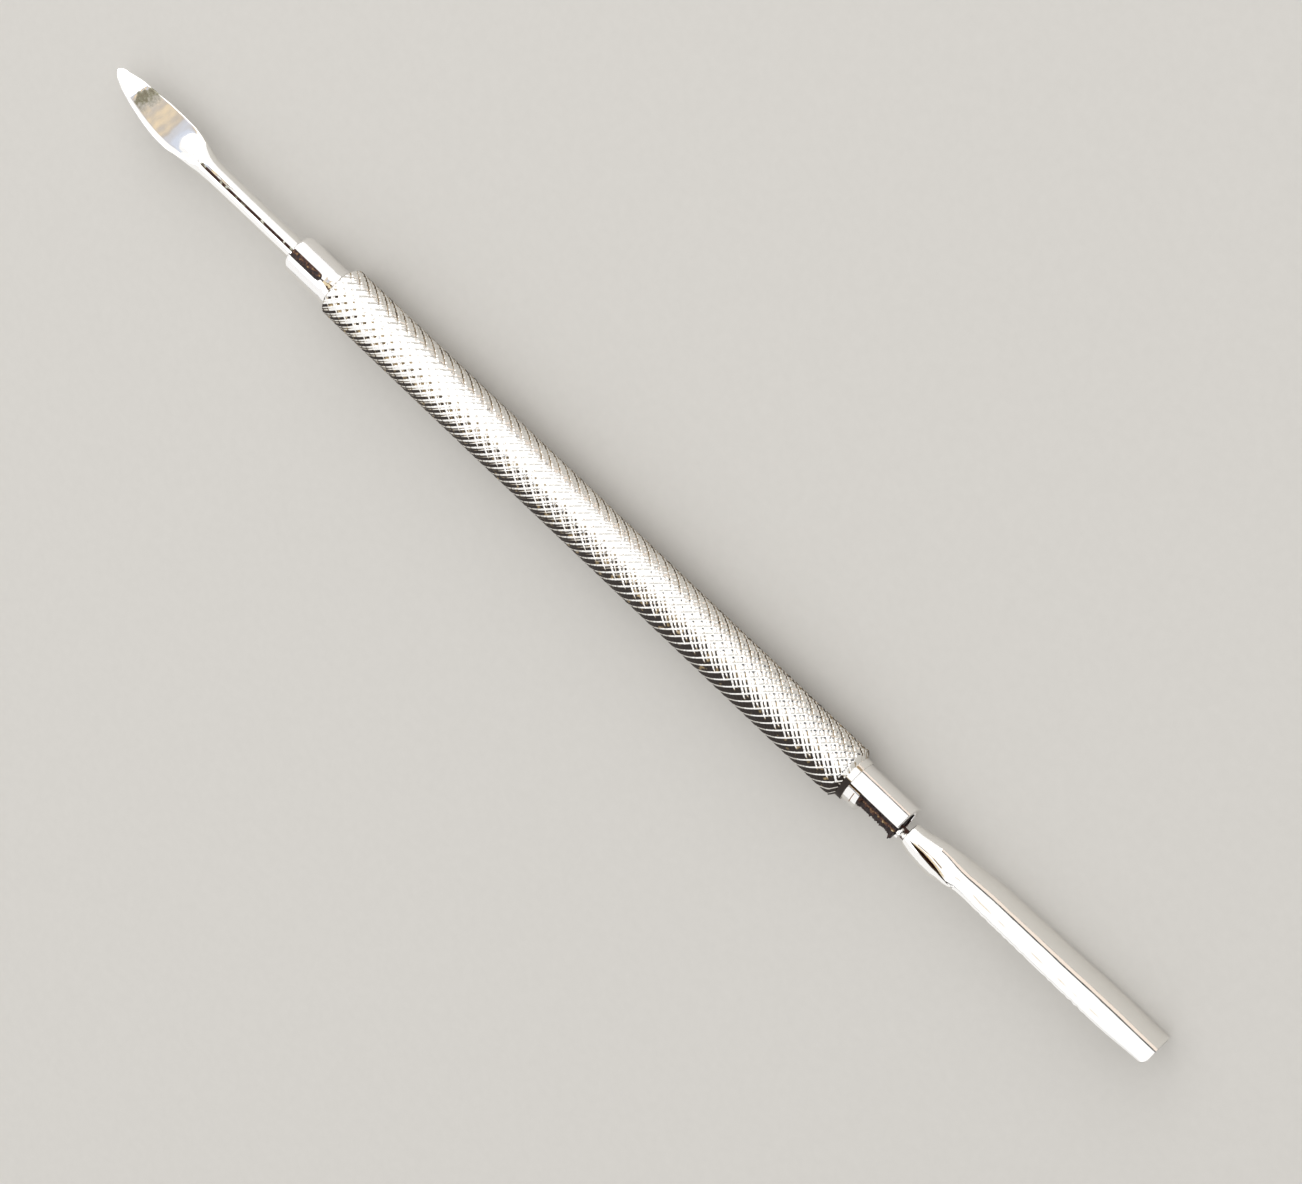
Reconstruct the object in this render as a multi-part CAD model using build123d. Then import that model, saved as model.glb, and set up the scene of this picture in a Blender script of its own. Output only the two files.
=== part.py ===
"""Double-ended metal spudger: a knurled tube handle with a spear blade and a gutter-shaped pusher.

Millimetres. X runs along the handle from the spear (-X) to the pusher (+X), with the origin on
the handle's axis halfway along the knurled sleeve. The pieces are drawn with the seams of the
rolled ones facing up, +Z, and angles round the handle are measured from there towards +Y, in
degrees. At the end the whole tool is rolled about its axis, to lie as it does on a bench: on the
sleeve and on the far edge of the pusher's gutter.
"""
from build123d import *
import math
import os

# ---- how far the tool rolls from its seams facing up until the gutter's far edge meets the bench
bench_roll = -22.0

# ---- knurled sleeve: one seamless tube that carries both ferrules
sleeve_length = 67.6
crest_diameter = 5.4
spear_rim_diameter = 4.8
spear_chamfer_length = 0.3
pusher_chamfer_length = 0.55
lip_diameter = 4.36
pusher_lip_length = 0.85

# ---- ferrules: two rolled, split collars pressed into the sleeve's ends
ferrule_diameter = 4.04
ferrule_wall = 0.45
ferrule_insertion = 8.0
ferrule_seam_width = 0.12
mouth_rounding = 0.2
spear_ferrule_exposed = 5.75
pusher_ferrule_exposed = 5.75
spear_side_shift = -0.2
slot_width = 0.8
slot_length = 4.3
slot_angle = -8.0
notch_length = 4.4
notch_first_angle = -20.0
notch_last_angle = -140.0

# ---- spear: a rolled shank whose end is pressed flat and ground to a pointed leaf
shank_diameter = 2.24
shank_wall = 0.45
shank_seam_width = 0.16
shank_seam_angle = -10.0
shank_insertion = 7.5
shank_plug_length = 1.2
shank_crown_angle = 60.0
spear_reach = 26.9
leaf_length = 10.4
shoulder_length = 4.6
shoulder_step = 0.22
leaf_half_width = 1.8
leaf_thickness = 0.9
tip_thickness = 0.3
tip_offset = 0.65
tip_upper_slope = 0.6
tip_lower_slope = -0.8
belly_from_tip = 3.4
upper_belly = 1.6
lower_belly = -1.0
widest_from_tip = 8.6
edge_bevel_width = 0.45
edge_bevel_drop = 0.25
edge_bevel_margin = 0.7

# ---- pusher: a rolled neck that is pressed flat and bent into a gutter
pusher_reach = 29.0
neck_gap = 0.8
neck_start_radius = 1.19
neck_start_shift = -0.16
neck_end_radius = 1.71
neck_end_shift = -0.06
neck_length = 3.7
neck_fold_angle = 86.0
pressed_length = 2.5
pressed_radius = 2.92
pressed_thickness = 1.4
pressed_side_shift = -0.9
flare_length = 5.1
gutter_start_radius = 3.18
gutter_end_radius = 3.5
gutter_first_angle = -5.0
gutter_last_angle = 89.0
gutter_side_shift = -0.85
gutter_crown_height = 1.53
gutter_thickness = 0.9
gutter_tip_thickness = 0.5
gutter_corner_radius = 0.7

# ---- open seam of the pusher's neck, seen from above
seam_gap_width = 0.4
seam_gap_margin = 0.5
seam_gap_length = 5.2
seam_gap_start_side = -0.66
seam_gap_end_side = -1.16
seam_gap_floor = 0.8

# ---- stem: the round core that ties the pusher to its ferrule
stem_diameter = 1.4
stem_side_shift = -0.5
stem_insertion = 8.0
stem_in_neck = 3.2

# ---- braze that fills each ferrule round what it holds
braze_recess = 0.25
braze_length = 8.0
slot_fill_depth = 0.12
bare_braze_diameter = 2.2
bare_braze_shift = -0.25

# ---- places worked out from the sizes
half_sleeve = sleeve_length / 2
crest_radius = crest_diameter / 2
lip_radius = lip_diameter / 2
ferrule_radius = ferrule_diameter / 2
ferrule_bore = ferrule_radius - ferrule_wall
shank_radius = shank_diameter / 2
shank_bore = shank_radius - shank_wall
stem_radius = stem_diameter / 2
spear_mouth = -half_sleeve - spear_ferrule_exposed
pusher_mouth = half_sleeve + pusher_ferrule_exposed
notch_start = pusher_mouth - notch_length
spear_tip = spear_mouth - spear_reach
pusher_tip = pusher_mouth + pusher_reach
leaf_root = spear_tip + leaf_length
shank_start = leaf_root + shoulder_length
neck_start = pusher_mouth + neck_gap
neck_end = neck_start + neck_length
gutter_start = neck_end + flare_length
gutter_span = gutter_last_angle - gutter_first_angle


def rod(radius, start, end, side=0.0):
    """Solid cylinder along X between two stations, its axis moved sideways along Y."""
    plane = Plane(origin=(start, side, 0), x_dir=(0, 1, 0), z_dir=(1, 0, 0))
    return extrude(plane * Circle(radius), end - start)


def turned(outline, side=0.0):
    """Solid of revolution about X from (x, radius) corners, its axis moved along Y."""
    face = Plane.XY * make_face(Polyline(*outline, close=True))
    return Pos(0, side, 0) * revolve(face, Axis.X)


def ray_point(radius, angle, side=0.0, height=0.0):
    """Y and Z of the point at a radius and an angle from +Z towards +Y."""
    turn = math.radians(angle)
    return side + radius * math.sin(turn), height + radius * math.cos(turn)


def radial_slab(width, reach, start, end, angle, side=0.0):
    """Flat block from the axis out to reach, standing at an angle round the handle."""
    block = Box(end - start, width, reach, align=(Align.MIN, Align.CENTER, Align.MIN))
    return Pos(start, side, 0) * Rot(-angle, 0, 0) * block


def wedge(reach, start, end, first, last, side=0.0):
    """Pie-shaped block along X between two angles round the handle, under a half turn."""
    middle = (first + last) / 2
    corners = [(side, 0.0)]
    corners += [ray_point(reach, angle, side) for angle in (first, middle, last)]
    face = make_face(Polyline(*corners, close=True))
    plane = Plane(origin=(start, 0, 0), x_dir=(0, 1, 0), z_dir=(1, 0, 0))
    return extrude(plane * face, end - start)


def knurled_sleeve():
    """Seamless tube: its crest cylinder, a chamfer at each end and a plain lip by the pusher."""
    outline = [
        (-half_sleeve, 0),
        (-half_sleeve, spear_rim_diameter / 2),
        (-half_sleeve + spear_chamfer_length, crest_radius),
        (half_sleeve - pusher_lip_length - pusher_chamfer_length, crest_radius),
        (half_sleeve - pusher_lip_length, lip_radius),
        (half_sleeve, lip_radius),
        (half_sleeve, 0),
    ]
    tube = turned(outline) - rod(ferrule_radius, 0, half_sleeve)
    return tube - rod(ferrule_radius, -half_sleeve, 0, spear_side_shift)


def rounded_collar(mouth, inner_end, side):
    """Tube from its rounded mouth to its inner end, which may lie on either side."""
    inward = 1 if inner_end > mouth else -1
    outer = ferrule_radius
    outline = [
        (mouth, ferrule_bore),
        (mouth, outer - mouth_rounding),
        (mouth + inward * mouth_rounding, outer),
        (inner_end, outer),
        (inner_end, ferrule_bore),
    ]
    return turned(outline, side)


def blade_ferrule():
    """Split collar on the spear side, with a round-ended slot in line with its seam."""
    inner_end = -half_sleeve + ferrule_insertion
    collar = rounded_collar(spear_mouth, inner_end, spear_side_shift)
    seam = radial_slab(ferrule_seam_width, crest_diameter, spear_mouth, inner_end,
                       slot_angle, spear_side_shift)
    straight_end = spear_mouth + slot_length - slot_width / 2
    slot = radial_slab(slot_width, crest_diameter, spear_mouth, straight_end,
                       slot_angle, spear_side_shift)
    round_end = (Pos(straight_end, spear_side_shift, 0) * Rot(-slot_angle, 0, 0)
                 * Cylinder(slot_width / 2, crest_diameter, align=(Align.CENTER, Align.CENTER, Align.MIN)))
    return collar - seam - slot - round_end


def pusher_ferrule():
    """Split collar on the pusher side, its lower lip cut away into a wide notch."""
    inner_end = half_sleeve - ferrule_insertion
    collar = rounded_collar(pusher_mouth, inner_end, 0)
    seam = radial_slab(ferrule_seam_width, crest_diameter, inner_end, pusher_mouth, notch_first_angle)
    notch = wedge(crest_diameter, notch_start, pusher_mouth, notch_first_angle, notch_last_angle)
    return collar - seam - notch


def leaf_plan():
    """Pointed leaf seen from above, with its blunter curve on the upper side."""
    tip = (spear_tip, tip_offset)
    belly = spear_tip + belly_from_tip
    widest = spear_tip + widest_from_tip
    upper_slopes = [(1, tip_upper_slope), (1, 0)]
    lower_slopes = [(1, tip_lower_slope), (1, 0)]
    edges = [
        Spline(tip, (belly, upper_belly), (widest, leaf_half_width), tangents=upper_slopes),
        Line((widest, leaf_half_width), (leaf_root, leaf_half_width)),
        Line((leaf_root, leaf_half_width), (leaf_root, -leaf_half_width)),
        Line((leaf_root, -leaf_half_width), (widest, -leaf_half_width)),
        Spline(tip, (belly, lower_belly), (widest, -leaf_half_width), tangents=lower_slopes),
    ]
    return make_face(Wire(edges))


def leaf_side():
    """Side view of the leaf, thinned evenly from its root to its point."""
    half_leaf = leaf_thickness / 2
    half_tip = tip_thickness / 2
    corners = [(spear_tip, half_tip), (leaf_root, half_leaf), (leaf_root, -half_leaf), (spear_tip, -half_tip)]
    return make_face(Polyline(*corners, close=True))


def pressed_leaf():
    """Leaf cut to its plan and its side view, with a flat bevel ground along its lower edge."""
    plan = extrude(leaf_plan(), leaf_thickness, both=True)
    side = extrude(Plane.XZ * leaf_side(), crest_diameter, both=True)
    start = (spear_tip, tip_offset - edge_bevel_margin)
    run = leaf_root - start[0]
    rise = -leaf_half_width - start[1]
    heading = math.degrees(math.atan2(rise, run))
    slope = math.degrees(math.atan2(edge_bevel_drop, edge_bevel_width))
    grinder = Box(run, crest_diameter, crest_diameter, align=(Align.MIN, Align.MAX, Align.MIN))
    grinder = Rot(0, 0, heading) * Pos(0, edge_bevel_width, 0) * Rot(slope, 0, 0) * grinder
    return (plan & side) - Pos(start[0], start[1], leaf_thickness / 2) * grinder


def pressed_shoulder():
    """Loft from the leaf's round-edged root to the round shank."""
    high = leaf_half_width
    low = shoulder_step - leaf_half_width
    half = leaf_thickness / 2
    root = section(leaf_root, [
        ((low + half, half), (high - half, half)),
        ((high - half, half), (high, 0), (high - half, -half)),
        ((high - half, -half), (low + half, -half)),
        ((low + half, -half), (low, 0), (low + half, half)),
    ])
    crown = 2 * shank_crown_angle
    end = ring_section(shank_start, shank_radius, spear_side_shift, -shank_crown_angle, crown, 180 - crown)
    return loft([root, end])


def spear_blade():
    """Rolled shank with an open seam, its end pressed to a pointed leaf."""
    inner_end = spear_mouth + shank_insertion
    shank = rod(shank_radius, shank_start, inner_end, spear_side_shift)
    shank -= rod(shank_bore, shank_start + shank_plug_length, inner_end, spear_side_shift)
    seam = radial_slab(shank_seam_width, shank_diameter, shank_start, inner_end,
                       shank_seam_angle, spear_side_shift)
    return pressed_leaf() + pressed_shoulder() + (shank - seam)


def section(station, chains):
    """Closed loop at a station, each edge an arc through three points or a line between two."""
    plane = Plane(origin=(station, 0, 0), x_dir=(0, 1, 0), z_dir=(1, 0, 0))
    edges = [ThreePointArc(*chain) if len(chain) > 2 else Line(*chain) for chain in chains]
    return plane * make_face(Wire(edges))


def ring_section(station, radius, side, first, crown_span, fold_span):
    """Circle of four arcs: its crown, a fold, the arc that faces the crown and a fold."""
    chains = []
    start = first
    for span in (crown_span, fold_span, 360 - crown_span - 2 * fold_span, fold_span):
        angles = (start, start + span / 2, start + span)
        chains.append([ray_point(radius, angle, side) for angle in angles])
        start += span
    return section(station, chains)


def neck_section(station, radius, side):
    """Circle whose arcs meet where the gutter's folds begin."""
    return ring_section(station, radius, side, gutter_first_angle, gutter_span, neck_fold_angle)


def gutter_section(station, radius, thickness, side):
    """Bent strip: crown arc, a round fold, inner arc and a round fold."""
    height = gutter_crown_height - radius
    middle = gutter_first_angle + gutter_span / 2
    fold = math.degrees(thickness / 2 / radius)
    inner = radius - thickness
    centre = radius - thickness / 2
    first = gutter_first_angle + fold
    last = gutter_last_angle - fold

    def at(distance, angle):
        return ray_point(distance, angle, side, height)

    crown = (at(radius, first), at(radius, middle), at(radius, last))
    far_fold = (at(radius, last), at(centre, gutter_last_angle), at(inner, last))
    inside = (at(inner, last), at(inner, middle), at(inner, first))
    near_fold = (at(inner, first), at(centre, gutter_first_angle), at(radius, first))
    return section(station, [crown, far_fold, inside, near_fold])


def rounded_gutter_end():
    """Block that keeps the gutter and rounds the two corners of its end."""
    middle = gutter_first_angle + gutter_span / 2
    centre_y, centre_z = ray_point(gutter_end_radius, middle, gutter_side_shift,
                                   gutter_crown_height - gutter_end_radius)
    half_chord = gutter_end_radius * math.sin(math.radians(gutter_span / 2))
    plan = RectangleRounded(pusher_tip - neck_end, 2 * half_chord, gutter_corner_radius,
                            align=(Align.MIN, Align.CENTER))
    block = extrude(plan, crest_diameter, both=True)
    return Pos(neck_end, centre_y, centre_z) * Rot(-middle, 0, 0) * block


def neck_seam_gap():
    """Block that opens the neck's seam from above, along its slanting course."""
    run = seam_gap_length
    heading = math.degrees(math.atan2(seam_gap_end_side - seam_gap_start_side, run))
    block = Box(run, seam_gap_width, crest_diameter, align=(Align.MIN, Align.CENTER, Align.MIN))
    start = Pos(neck_start + seam_gap_margin, seam_gap_start_side, seam_gap_floor)
    return start * Rot(0, 0, heading) * block


def pusher_scoop():
    """Rolled neck with its open seam, pressed flare and bent gutter with a rounded end."""
    neck_end_ring = neck_section(neck_end, neck_end_radius, neck_end_shift)
    pressed_ring = gutter_section(neck_end + pressed_length, pressed_radius, pressed_thickness,
                                  pressed_side_shift)
    gutter_ring = gutter_section(gutter_start, gutter_start_radius, gutter_thickness, gutter_side_shift)
    tip_ring = gutter_section(pusher_tip, gutter_end_radius, gutter_tip_thickness, gutter_side_shift)
    neck = loft([neck_section(neck_start, neck_start_radius, neck_start_shift), neck_end_ring])
    press = loft([neck_end_ring, pressed_ring])
    flare = loft([pressed_ring, gutter_ring])
    gutter = loft([gutter_ring, tip_ring]) & rounded_gutter_end()
    bore = rod(stem_radius, neck_start, neck_start + stem_in_neck, stem_side_shift)
    return neck + press + flare + gutter - bore - neck_seam_gap()


def pusher_stem():
    """Round core that runs from inside the ferrule into the pusher's neck."""
    return rod(stem_radius, pusher_mouth - stem_insertion, neck_start + stem_in_neck, stem_side_shift)


def blade_braze():
    """Braze round the spear's shank, which also fills the ferrule's slot."""
    start = spear_mouth + braze_recess
    end = spear_mouth + braze_length
    fill = rod(ferrule_bore, start, end, spear_side_shift)
    straight_end = spear_mouth + slot_length - slot_width / 2
    slot = radial_slab(slot_width, ferrule_radius - slot_fill_depth, start, straight_end,
                       slot_angle, spear_side_shift)
    shank_end = spear_mouth + shank_insertion
    return fill + slot - rod(shank_radius, start, shank_end, spear_side_shift)


def pusher_braze():
    """Braze round the stem: a full plug in the ferrule and a thinner collar bare in the notch."""
    start = pusher_mouth - braze_length
    end = pusher_mouth - braze_recess
    plug = rod(ferrule_bore, start, notch_start)
    bare = rod(bare_braze_diameter / 2, notch_start, end, bare_braze_shift)
    return plug + bare - rod(stem_radius, start, end, stem_side_shift)


pieces = {
    "knurled_sleeve": knurled_sleeve(),
    "blade_ferrule": blade_ferrule(),
    "pusher_ferrule": pusher_ferrule(),
    "spear_blade": spear_blade(),
    "pusher_scoop": pusher_scoop(),
    "pusher_stem": pusher_stem(),
    "blade_braze": blade_braze(),
    "pusher_braze": pusher_braze(),
}

os.makedirs("parts", exist_ok=True)
for name, piece in pieces.items():
    export_step(Rot(bench_roll, 0, 0) * piece, f"parts/{name}.step")
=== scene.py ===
# %% [markdown]
# # Spudger: a knurled tube handle, a spear blade and a gutter-shaped pusher
# The imported CAD model is the frame of this scene: it says how large the tool is and how it lies
# on the bench. Everything that shows is a finer mesh, worked out with numpy, that stands exactly
# where its CAD solid does. The box round the CAD model is kept here and printed.

# %% Load the frame and keep its box
import math

import bpy
import numpy as np
from mathutils import Matrix, Vector


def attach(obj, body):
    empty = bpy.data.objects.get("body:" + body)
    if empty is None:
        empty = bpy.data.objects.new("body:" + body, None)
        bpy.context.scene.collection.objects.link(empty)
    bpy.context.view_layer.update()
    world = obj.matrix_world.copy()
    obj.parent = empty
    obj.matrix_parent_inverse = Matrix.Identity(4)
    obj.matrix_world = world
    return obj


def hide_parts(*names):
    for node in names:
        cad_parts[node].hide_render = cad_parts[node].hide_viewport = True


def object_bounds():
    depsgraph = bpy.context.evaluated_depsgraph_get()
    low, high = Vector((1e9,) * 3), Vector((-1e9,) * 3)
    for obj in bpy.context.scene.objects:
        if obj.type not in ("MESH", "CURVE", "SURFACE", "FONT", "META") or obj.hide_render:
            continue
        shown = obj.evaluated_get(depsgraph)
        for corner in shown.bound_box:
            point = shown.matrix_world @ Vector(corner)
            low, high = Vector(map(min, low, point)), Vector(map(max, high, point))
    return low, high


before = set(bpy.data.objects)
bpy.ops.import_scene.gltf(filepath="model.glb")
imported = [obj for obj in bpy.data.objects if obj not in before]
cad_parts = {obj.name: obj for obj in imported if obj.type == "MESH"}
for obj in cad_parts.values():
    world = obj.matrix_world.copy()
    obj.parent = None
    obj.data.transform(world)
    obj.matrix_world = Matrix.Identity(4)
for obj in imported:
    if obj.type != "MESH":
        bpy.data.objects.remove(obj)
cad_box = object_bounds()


def in_mm(box):
    """A box in metres, as rounded millimetres."""
    return [[round(1000 * float(value), 2) for value in corner] for corner in box]


print("CAD box in mm:", in_mm(cad_box))

# %% [markdown]
# ## One drawing frame for every shape
# The tool is easiest to draw with the seams of its rolled pieces facing up. On a bench it lies
# rolled by 22 degrees, on its handle and on the far edge of the gutter. So every shape is worked
# out in millimetres with the seams up, and one function rolls it and turns it to metres. Angles
# round the handle start at the top and grow towards +Y.

# %% Roll and scale
BENCH_ROLL = math.radians(-22.0)
MM = 0.001


def to_bench(points):
    """Turns points about X by the roll: y cos - z sin, and y sin + z cos. X stays as it is."""
    x, y, z = points[..., 0], points[..., 1], points[..., 2]
    cosine, sine = math.cos(BENCH_ROLL), math.sin(BENCH_ROLL)
    return np.stack([x, y * cosine - z * sine, y * sine + z * cosine], axis=-1)


def around(x, radius, angle, side=0.0):
    """Points round the handle: y = side + radius sin(angle), z = radius cos(angle), in radians."""
    x, radius, angle, side = np.broadcast_arrays(x, radius, angle, side)
    return np.stack([x, side + radius * np.sin(angle), radius * np.cos(angle)], axis=-1)


# %% [markdown]
# ## Camera
# The photograph looks down on the tool from over the pusher's side: the spear lies about 14.5
# degrees further from the lens than the pusher does. The tool crosses the frame from the upper
# left to the lower right, so the camera is also turned about its own axis.

# %% Place the camera
FRAME_WIDTH, FOCAL_PIXELS, SENSOR = 1302, 3000, 36.0
camera_tilt = math.radians(14.5)
camera_place = np.array([76.24, -0.448, 263.05])
# Cosine and sine of that turn, 43.6 degrees.
turn_cosine, turn_sine = 0.7245, 0.6893
along = np.array([math.cos(camera_tilt), 0.0, -math.sin(camera_tilt)])
across = np.array([0.0, 1.0, 0.0])
towards = np.array([math.sin(camera_tilt), 0.0, math.cos(camera_tilt)])
frame_right = turn_cosine * along + turn_sine * across
frame_up = turn_cosine * across - turn_sine * along

camera_data = bpy.data.cameras.new("view_camera")
camera_data.lens = FOCAL_PIXELS * SENSOR / FRAME_WIDTH
camera_data.sensor_width = SENSOR
camera_data.clip_start = 0.02
camera = bpy.data.objects.new("view_camera", camera_data)
bpy.context.collection.objects.link(camera)
axes = [Vector(to_bench(axis)) for axis in (frame_right, frame_up, towards)]
turn = Matrix(axes).transposed().to_4x4()
camera.matrix_world = Matrix.Translation(Vector(to_bench(camera_place) * MM)) @ turn
bpy.context.scene.camera = camera
print("lens", round(camera_data.lens, 2), "mm, camera", [round(v, 4) for v in camera.location])

# %% [markdown]
# ## Materials from small pieces
# A material is a short chain of nodes, so small functions each add one kind of node and link it.
# Colours are written as hex values, as a paint chart gives them, and turned to the linear light
# values that the renderer works with.

# %% Node and colour helpers


def feed(tree, node, inputs):
    """Links or sets each input socket that is named."""
    for key, value in inputs.items():
        if isinstance(value, bpy.types.NodeSocket):
            tree.links.new(value, node.inputs[key])
        else:
            node.inputs[key].default_value = value


def add(tree, kind, inputs=None, **options):
    """Adds a node, sets its options and feeds its inputs."""
    node = tree.nodes.new("ShaderNode" + kind)
    for name, value in options.items():
        setattr(node, name, value)
    feed(tree, node, inputs or {})
    return node


def maths(tree, operation, *values):
    """Result of one operation on two or three numbers or sockets."""
    return add(tree, "Math", dict(enumerate(values)), operation=operation).outputs["Value"]


def noise(tree, place, size, detail):
    """Noise from 0 to 1 whose lumps are about size mm wide."""
    node = add(tree, "TexNoise", {"Vector": place, "Scale": 1 / (size * MM), "Detail": detail})
    return node.outputs["Fac"]


def spread(tree, value, low, high, new_low=0.0, new_high=1.0):
    """Value moved from low..high to new_low..new_high, and held there at both ends."""
    node = add(tree, "MapRange", {"Value": value, "From Min": low, "From Max": high,
                                  "To Min": new_low, "To Max": new_high})
    return node.outputs["Result"]


def bump(tree, height, strength, distance):
    """Normal bent by a height from 0 to 1, where 1 stands distance mm proud."""
    node = add(tree, "Bump", {"Height": height, "Strength": strength, "Distance": distance * MM})
    return node.outputs["Normal"]


def linear(code):
    """sRGB hex to linear: c / 12.92 up to 0.04045, and ((c + 0.055) / 1.055) ** 2.4 above."""
    values = [int(code[place:place + 2], 16) / 255 for place in (1, 3, 5)]
    values = [v / 12.92 if v <= 0.04045 else ((v + 0.055) / 1.055) ** 2.4 for v in values]
    return (*values, 1.0)


def blank_material(name):
    """An empty material and its node tree, with the shader already linked to the output."""
    material = bpy.data.materials.new(name)
    material.use_nodes = True
    tree = material.node_tree
    tree.nodes.clear()
    shader = add(tree, "BsdfPrincipled")
    add(tree, "OutputMaterial", {"Surface": shader.outputs["BSDF"]})
    return material, tree, shader


# %% [markdown]
# ## Bright metal
# All of the tool is steel under bright nickel and chrome plate. Polished plate is a mirror with
# a little haze: metallic, of a high and slightly warm grey, with a low roughness that drifts a
# little from place to place. Fine polishing lines run along each piece, but across the blade.
# Where a mesh attribute asks for it, grime in seams dulls the metal, and painted shade darkens
# the knurl's pits, the pusher's gap, the stem and the sleeve's lip.

# %% Bright metal material


def fact(tree, key):
    """The value of a mesh attribute."""
    return add(tree, "Attribute", attribute_name=key).outputs["Fac"]


def pits_grime_and_shade(tree):
    """Share of grime and painted shade in the knurl's pits: the product of how far each set of
    ridges falls below its line.

    The ridges are attributes from 0 in the deepest valley to 1 on the crest, so a pit's dark
    patch has the crisp diamond shape that the two sets leave between them.
    """
    falls = []
    for ridge, line in (("back_ridge", "back_line"), ("on_ridge", "on_line")):
        depth = maths(tree, "SUBTRACT", fact(tree, line), fact(tree, ridge))
        falls.append(spread(tree, depth, 0.0, 0.1))
    return maths(tree, "MULTIPLY", maths(tree, "MULTIPLY", *falls), fact(tree, "pit_share"))


def bright_metal(name, colour, pale_tint, grime_and_shade_colour, haze, line_width, grime_and_shade_share, relief=0.05,
                 knurled=False, lines_along="X"):
    """Metal whose roughness drifts from haze[0] to haze[1], under grime and painted shade
    up to a set share.

    A thin share takes a paler tint: thin grime, and where a piece paints light, a pale reflection.
    Polishing lines run along X or along Y, and relief is how strongly they bend the light.
    """
    material, tree, shader = blank_material(name)
    place = add(tree, "TexCoord").outputs["Object"]
    # Polishing lines: noise stretched twenty times, so that one line is line_width mm wide.
    squeeze = (0.05, 1.0, 1.0) if lines_along == "X" else (1.0, 0.05, 1.0)
    stretched = add(tree, "Mapping", {"Vector": place, "Scale": squeeze}).outputs["Vector"]
    lines = noise(tree, stretched, line_width, 3.0)
    # Haze: the plate's gloss changes over about 2 mm.
    gloss = spread(tree, noise(tree, place, 2.0, 4.0), 0.3, 0.7, *haze)
    # Grime and painted shade: patchy at about 0.25 mm, and only where the mesh's attribute asks.
    grime_and_shade = spread(tree, fact(tree, "grime_and_shade"), 0.12, 0.55)
    if knurled:
        grime_and_shade = maths(tree, "MAXIMUM", grime_and_shade, pits_grime_and_shade(tree))
    patchy = spread(tree, noise(tree, place, 0.25, 3.0), 0.35, 0.65, 0.85, 1.35)
    share = maths(tree, "MINIMUM", maths(tree, "MULTIPLY", grime_and_shade, patchy), grime_and_shade_share)
    base = add(tree, "ValToRGB", {"Fac": share})
    base.color_ramp.elements[0].color = linear(colour)
    base.color_ramp.elements[-1].color = linear(grime_and_shade_colour)
    base.color_ramp.elements[-1].position = 0.75
    base.color_ramp.elements.new(0.32).color = linear(pale_tint)
    # Under grime and painted shade the surface is rougher, and less of it is bare metal.
    feed(tree, shader, {"Base Color": base.outputs["Color"],
                        "Roughness": maths(tree, "MULTIPLY_ADD", share, 0.45, gloss),
                        "Metallic": maths(tree, "MULTIPLY_ADD", share, -0.8, 1.0),
                        "Normal": bump(tree, lines, relief, 0.02)})
    return material


# Satin nickel in the knurl, bright chrome on the collars, ground and polished steel at the tips.
# Each material's last two colours are its pale tint and its dark tone. They paint grime, and also
# painted shade and reflection where a piece asks for them.
plated_knurl = bright_metal("plated_knurl", "#F2F0EC", "#A48E68", "#20140A", (0.1, 0.18),
                            line_width=0.06, grime_and_shade_share=0.97, knurled=True)
plated_collar = bright_metal("plated_collar", "#F3F1EE", "#B98F58", "#3A1C0C", (0.05, 0.09),
                             line_width=0.05, grime_and_shade_share=0.95)
polished_steel = bright_metal("polished_steel", "#F2F0EC", "#CBB283", "#46200C", (0.04, 0.08),
                              line_width=0.08, grime_and_shade_share=0.97)
ground_steel = bright_metal("ground_steel", "#F2F0EC", "#8D8A76", "#46200C", (0.04, 0.08),
                            line_width=0.1, grime_and_shade_share=0.97, relief=0.012, lines_along="Y")

# %% [markdown]
# ## Braze
# The filler that shows in the slot and the notch is old braze with burnt flux: a dull, crumbling
# crust, tan on its grains, with painted shade making its hollows dark red-brown. It is no mirror,
# so its metallic value is zero and its roughness is high.

# %% Braze material


def burnt_braze():
    """Crust coloured by its grains' height, 0 to 1: tan on top, painted shade in the hollows."""
    material, tree, shader = blank_material("braze_crust")
    crust_relief = noise(tree, add(tree, "TexCoord").outputs["Object"], 0.12, 4.0)
    height = maths(tree, "MULTIPLY_ADD", crust_relief, 0.5, fact(tree, "grain_and_painted_light"))
    ramp = add(tree, "ValToRGB", {"Fac": height})
    ramp.color_ramp.elements[0].position = 0.42
    ramp.color_ramp.elements[0].color = linear("#1E0904")
    for at, code in ((0.66, "#4C2510"), (0.9, "#9A7A4C")):
        ramp.color_ramp.elements.new(at).color = linear(code)
    ramp.color_ramp.elements[-1].color = linear("#D9C7A0")
    feed(tree, shader, {"Base Color": ramp.outputs["Color"], "Roughness": 0.55, "Metallic": 0.0,
                        "Normal": bump(tree, crust_relief, 0.6, 0.03)})
    return material


braze_crust = burnt_braze()

# %% [markdown]
# ## From arrays to pieces
# A shape arrives as an array of points and arrays of faces. One function rolls the points, puts
# both into a mesh, turns the faces outwards if the volume they close comes out negative, keeps
# ground edges sharp, hangs the piece on the root and hides the CAD node that it stands for.

# %% Mesh helpers


def closed_rows(rows, columns, first=0):
    """Quads between neighbouring rows of a tube: corner, next column, the same two a row on."""
    row = first + np.arange(rows - 1)[:, None] * columns
    column = np.arange(columns)[None, :]
    after = (column + 1) % columns
    corners = [row + column, row + after, row + after + columns, row + column + columns]
    return np.stack(corners, axis=-1).reshape(-1, 4)


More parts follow.
